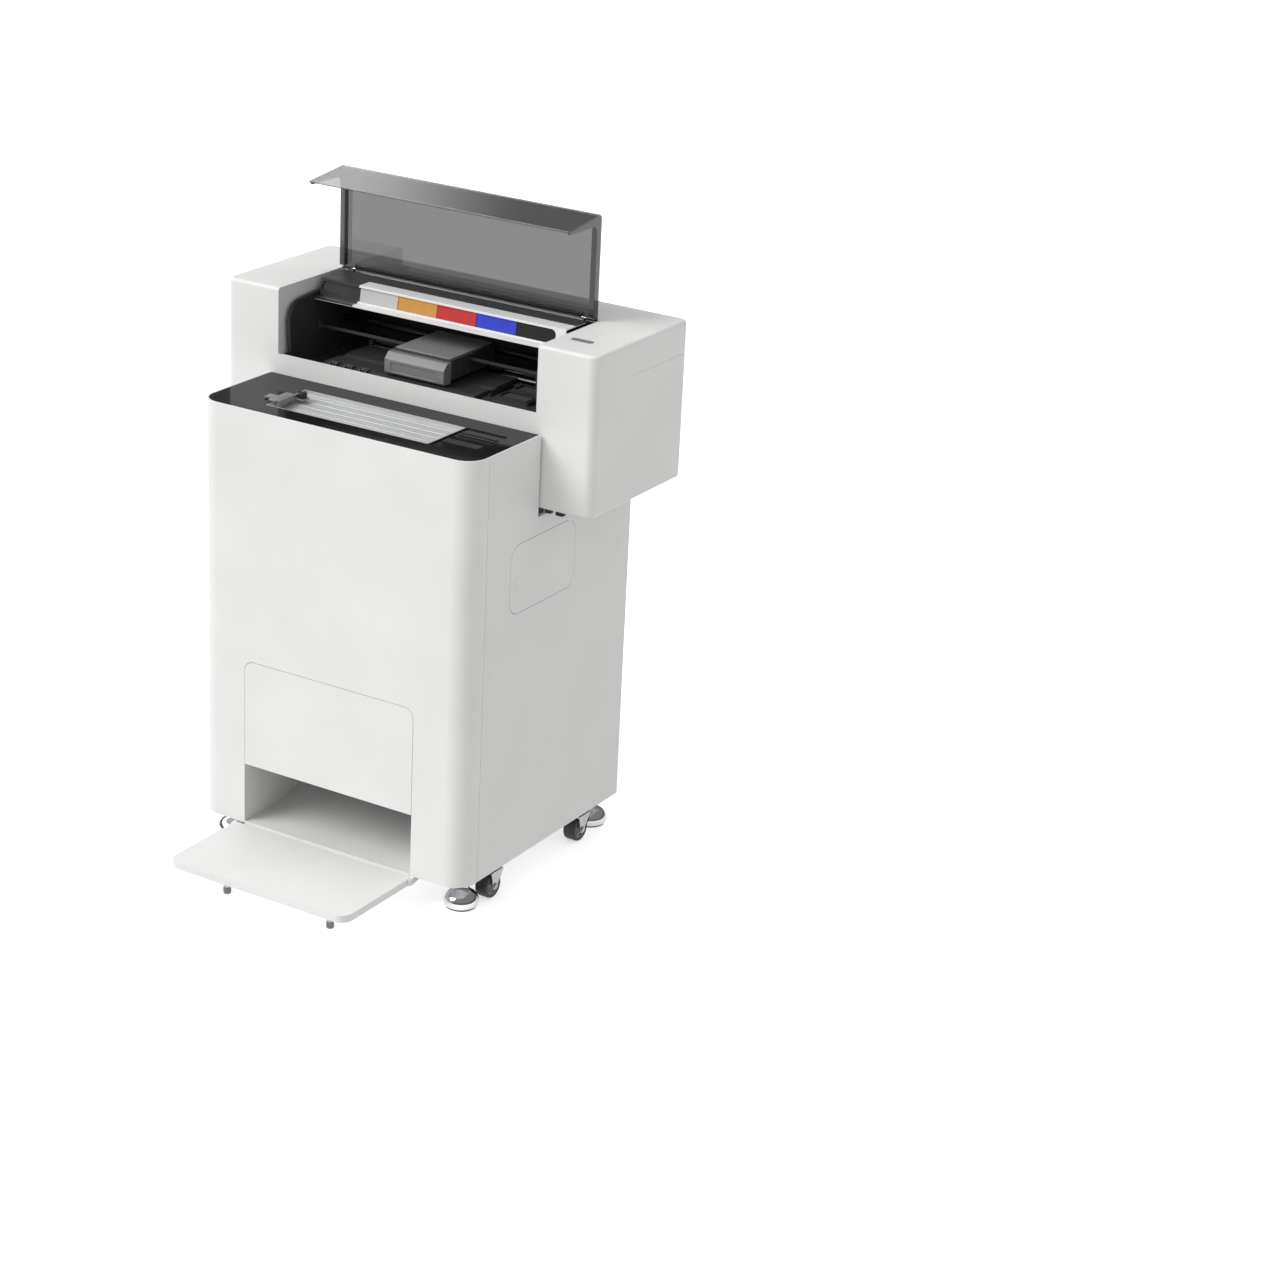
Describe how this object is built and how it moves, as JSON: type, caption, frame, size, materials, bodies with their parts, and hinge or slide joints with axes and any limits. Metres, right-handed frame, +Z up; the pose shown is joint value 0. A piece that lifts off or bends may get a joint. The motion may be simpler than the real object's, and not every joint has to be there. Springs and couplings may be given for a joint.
{
  "type": "film printer and curing cabinet",
  "caption": "Wide film printer with a raised smoked lid on a tall white powder and curing cabinet with a front output tray, casters and levelling feet.",
  "frame": {"origin": "on the floor, under the middle of the whole object's bounding box", "axes": "+Z up, +X to the right seen from the front, +Y to the back; the front faces -Y"},
  "size_m": [0.812, 0.748, 1.236],
  "materials": {
    "white_paint": "fine powder coat, satin",
    "shade_paint": "fine powder coat, satin",
    "white_plastic": "fine moulded texture, satin",
    "gloss_black": "polished",
    "matt_black": "matt",
    "dark_body": "satin",
    "black_rubber": "matt",
    "chrome_plate": "polished",
    "silver_sheet": "brushed",
    "zinc_plate": "zinc plated",
    "ground_steel": "ground",
    "grey_plastic": "satin",
    "smoked_lid": "polished, smoked, see-through",
    "ink_cleaner": "gloss",
    "ink_white": "gloss",
    "ink_yellow": "gloss",
    "ink_magenta": "gloss",
    "ink_cyan": "gloss",
    "ink_black": "gloss"
  },
  "bodies": {
    "lid": {"lid": "smoked_lid"},
    "output_tray": {"output_tray": "white_plastic"},
    "side_door": {"side_door": "shade_paint"},
    "film_guide": {"film_guide": "grey_plastic"},
    "guide_knob": {"guide_knob": "matt_black"},
    "entry_roller": {"entry_roller": "ground_steel"},
    "feed_roller": {"feed_roller": "ground_steel"},
    "pinch_roller": {"pinch_roller": "black_rubber"},
    "carriage": {"carriage_body": "dark_body", "carriage_cap": "grey_plastic"},
    "drive_pulley": {"drive_pulley": "zinc_plate"},
    "idler_pulley": {"idler_pulley": "zinc_plate"},
    "power_button": {"power_button": "grey_plastic"},
    "power_switch": {"power_switch": "matt_black"},
    "caster_fork_front_left": {"caster_fork_front_left": "zinc_plate"},
    "caster_wheel_front_left": {"caster_wheel_front_left": "black_rubber"},
    "caster_fork_front_right": {"caster_fork_front_right": "zinc_plate"},
    "caster_wheel_front_right": {"caster_wheel_front_right": "black_rubber"},
    "caster_fork_rear_left": {"caster_fork_rear_left": "zinc_plate"},
    "caster_wheel_rear_left": {"caster_wheel_rear_left": "black_rubber"},
    "caster_fork_rear_right": {"caster_fork_rear_right": "zinc_plate"},
    "caster_wheel_rear_right": {"caster_wheel_rear_right": "black_rubber"},
    "levelling_foot_front_left": {"levelling_foot_front_left": "chrome_plate"},
    "levelling_foot_front_right": {"levelling_foot_front_right": "chrome_plate"},
    "levelling_foot_rear_left": {"levelling_foot_rear_left": "chrome_plate"},
    "levelling_foot_rear_right": {"levelling_foot_rear_right": "chrome_plate"},
    "cabinet": {"base_plate": "zinc_plate", "front_fascia": "white_paint", "outlet_panel": "white_paint", "side_panel_left": "shade_paint", "side_panel_right": "shade_paint", "rear_panel": "shade_paint", "deck_panel": "shade_paint", "top_panel": "gloss_black", "power_inlet": "matt_black", "output_chute": "shade_paint", "film_trough": "silver_sheet", "powder_hopper": "silver_sheet", "curing_heater": "silver_sheet", "printer_housing": "white_plastic", "printer_rear_cover": "white_plastic", "printer_rear_lintel": "white_plastic", "chamber_liner": "matt_black", "platen": "matt_black", "capping_station": "dark_body", "carriage_rod": "ground_steel", "drive_belt": "black_rubber", "belt_motor": "matt_black", "ink_bay_cover": "white_plastic", "lid_hinge_rail": "matt_black", "printer_foot_front_left": "black_rubber", "printer_foot_front_right": "black_rubber", "printer_foot_rear_left": "black_rubber", "printer_foot_rear_right": "black_rubber", "ink_tank_cleaner": "ink_cleaner", "ink_tank_white": "ink_white", "ink_tank_yellow": "ink_yellow", "ink_tank_magenta": "ink_magenta", "ink_tank_cyan": "ink_cyan", "ink_tank_black": "ink_black"}
  },
  "joints": [
    {"name": "lid_hinge", "type": "hinge", "parent": "cabinet", "child": "lid", "pos_m": [0, 0.255, 1.04], "axis": [1, 0, 0], "range_deg": [0, 90]},
    {"name": "tray_hinge", "type": "hinge", "parent": "cabinet", "child": "output_tray", "pos_m": [0, -0.168, 0.053], "axis": [-1, 0, 0], "range_deg": [0, 90]},
    {"name": "door_hinge", "type": "hinge", "parent": "cabinet", "child": "side_door", "pos_m": [0.2975, 0.15, 0.621], "axis": [0, 0, 1], "range_deg": [0, 105]},
    {"name": "guide_slide", "type": "slide", "parent": "cabinet", "child": "film_guide", "axis": [1, 0, 0], "range_m": [0, 0.11]},
    {"name": "guide_knob_turn", "type": "hinge", "parent": "film_guide", "child": "guide_knob", "pos_m": [-0.159, -0.035, 0.88], "axis": [0, 0, 1], "range_deg": [0, 360]},
    {"name": "entry_roller_spin", "type": "hinge", "parent": "cabinet", "child": "entry_roller", "pos_m": [0, -0.104, 0.852], "axis": [1, 0, 0], "continuous": true},
    {"name": "feed_roller_spin", "type": "hinge", "parent": "cabinet", "child": "feed_roller", "pos_m": [0, 0.236, 0.903], "axis": [1, 0, 0], "continuous": true},
    {"name": "pinch_roller_spin", "type": "hinge", "parent": "cabinet", "child": "pinch_roller", "pos_m": [0, 0.236, 0.9154], "axis": [1, 0, 0], "continuous": true},
    {"name": "carriage_slide", "type": "slide", "parent": "cabinet", "child": "carriage", "axis": [1, 0, 0], "range_m": [-0.195, 0.19]},
    {"name": "drive_pulley_spin", "type": "hinge", "parent": "cabinet", "child": "drive_pulley", "pos_m": [0.255, 0.291, 0.933], "axis": [0, 0, 1], "continuous": true},
    {"name": "idler_pulley_spin", "type": "hinge", "parent": "cabinet", "child": "idler_pulley", "pos_m": [-0.255, 0.291, 0.933], "axis": [0, 0, 1], "continuous": true},
    {"name": "power_button_press", "type": "slide", "parent": "cabinet", "child": "power_button", "axis": [0, 0, -1], "range_m": [0, 0.0012], "stiffness_N_per_m": 300},
    {"name": "power_switch_rock", "type": "hinge", "parent": "cabinet", "child": "power_switch", "pos_m": [-0.21, 0.369, 0.154], "axis": [1, 0, 0], "range_deg": [0, 8]},
    {"name": "caster_swivel_front_left", "type": "hinge", "parent": "cabinet", "child": "caster_fork_front_left", "pos_m": [-0.28, -0.032, 0.055], "axis": [0, 0, 1], "continuous": true},
    {"name": "caster_spin_front_left", "type": "hinge", "parent": "caster_fork_front_left", "child": "caster_wheel_front_left", "pos_m": [-0.28, -0.042, 0.025], "axis": [1, 0, 0], "continuous": true},
    {"name": "caster_swivel_front_right", "type": "hinge", "parent": "cabinet", "child": "caster_fork_front_right", "pos_m": [0.28, -0.032, 0.055], "axis": [0, 0, 1], "continuous": true},
    {"name": "caster_spin_front_right", "type": "hinge", "parent": "caster_fork_front_right", "child": "caster_wheel_front_right", "pos_m": [0.28, -0.042, 0.025], "axis": [1, 0, 0], "continuous": true},
    {"name": "caster_swivel_rear_left", "type": "hinge", "parent": "cabinet", "child": "caster_fork_rear_left", "pos_m": [-0.28, 0.272, 0.055], "axis": [0, 0, 1], "continuous": true},
    {"name": "caster_spin_rear_left", "type": "hinge", "parent": "caster_fork_rear_left", "child": "caster_wheel_rear_left", "pos_m": [-0.28, 0.262, 0.025], "axis": [1, 0, 0], "continuous": true},
    {"name": "caster_swivel_rear_right", "type": "hinge", "parent": "cabinet", "child": "caster_fork_rear_right", "pos_m": [0.28, 0.272, 0.055], "axis": [0, 0, 1], "continuous": true},
    {"name": "caster_spin_rear_right", "type": "hinge", "parent": "caster_fork_rear_right", "child": "caster_wheel_rear_right", "pos_m": [0.28, 0.262, 0.025], "axis": [1, 0, 0], "continuous": true},
    {"name": "levelling_turn_front_left", "type": "hinge", "parent": "cabinet", "child": "levelling_foot_front_left", "pos_m": [-0.262, -0.103, 0.03], "axis": [0, 0, 1], "continuous": true},
    {"name": "levelling_turn_front_right", "type": "hinge", "parent": "cabinet", "child": "levelling_foot_front_right", "pos_m": [0.262, -0.103, 0.03], "axis": [0, 0, 1], "continuous": true},
    {"name": "levelling_turn_rear_left", "type": "hinge", "parent": "cabinet", "child": "levelling_foot_rear_left", "pos_m": [-0.262, 0.346, 0.03], "axis": [0, 0, 1], "continuous": true},
    {"name": "levelling_turn_rear_right", "type": "hinge", "parent": "cabinet", "child": "levelling_foot_rear_right", "pos_m": [0.262, 0.346, 0.03], "axis": [0, 0, 1], "continuous": true}
  ],
  "couplings": [
    {"joint": "drive_pulley_spin", "follows": "carriage_slide", "rad_per_m": 158.73},
    {"joint": "idler_pulley_spin", "follows": "carriage_slide", "rad_per_m": 158.73}
  ]
}
